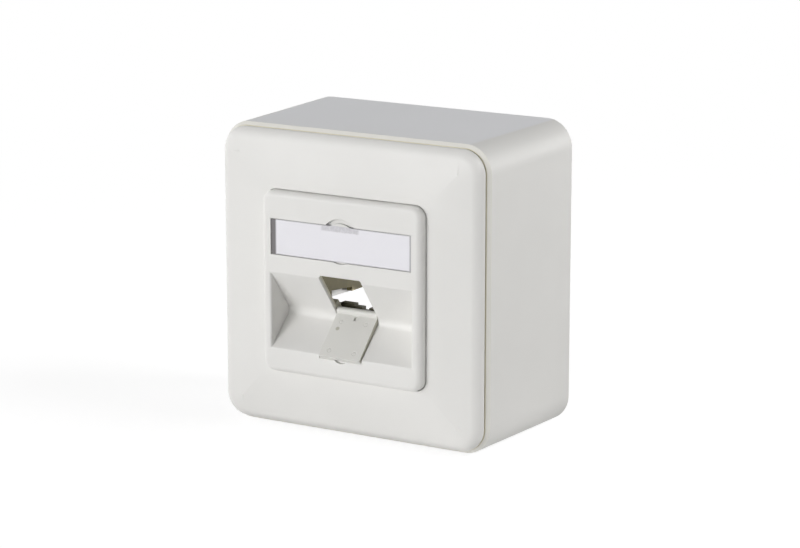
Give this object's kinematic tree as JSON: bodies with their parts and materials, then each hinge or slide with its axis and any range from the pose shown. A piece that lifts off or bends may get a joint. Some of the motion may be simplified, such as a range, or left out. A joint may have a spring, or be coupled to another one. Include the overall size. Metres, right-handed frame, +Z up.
{
  "type": "surface mount jack box",
  "caption": "Square white surface mount outlet box with a cover frame, a centre plate with label window, and one sloped jack port with a hinged dust flap.",
  "frame": {"origin": "centre of the wall face, at the middle of the four wall slots", "axes": "+Y into the wall, front towards -Y, +X to the right of someone facing the outlet, +Z up"},
  "size_m": [0.0834, 0.0508, 0.0834],
  "materials": {
    "housing_plastic": "satin white",
    "frame_plastic": "satin white",
    "plate_plastic": "satin white",
    "flap_plastic": "satin white",
    "clear_cover": "clear plastic",
    "label_paper": "plain white card",
    "support_steel": "zinc plated sheet",
    "holder_metal": "dark die-cast metal",
    "screw_steel": "zinc plated",
    "insert_brass": "turned",
    "clamp_plastic": "grey"
  },
  "bodies": {
    "outlet": {"housing": "housing_plastic", "boss_inserts": "insert_brass", "support_frame": "support_steel", "support_frame_screws": "screw_steel", "module_holder": "holder_metal", "module_holder_screws": "screw_steel", "cover_frame": "frame_plastic", "centre_plate": "plate_plastic", "centre_plate_screws": "screw_steel", "label_card": "label_paper", "flap_pin": "screw_steel", "earth_screw": "screw_steel", "earth_clamp": "support_steel", "earth_tab": "support_steel", "cable_clamp": "clamp_plastic", "cable_clamp_screws": "screw_steel"},
    "flap": {"dust_flap": "flap_plastic"},
    "window": {"label_cover": "clear_cover"}
  },
  "joints": [
    {"name": "flap_hinge", "type": "hinge", "parent": "outlet", "child": "flap", "pos_m": [0, -0.04088, -0.00778], "axis": [-1, 0, 0], "range_deg": [0, 99.3]},
    {"name": "label_cover_pull", "type": "slide", "parent": "outlet", "child": "window", "axis": [0, -1, 0], "range_m": [0, 0.006]}
  ]
}
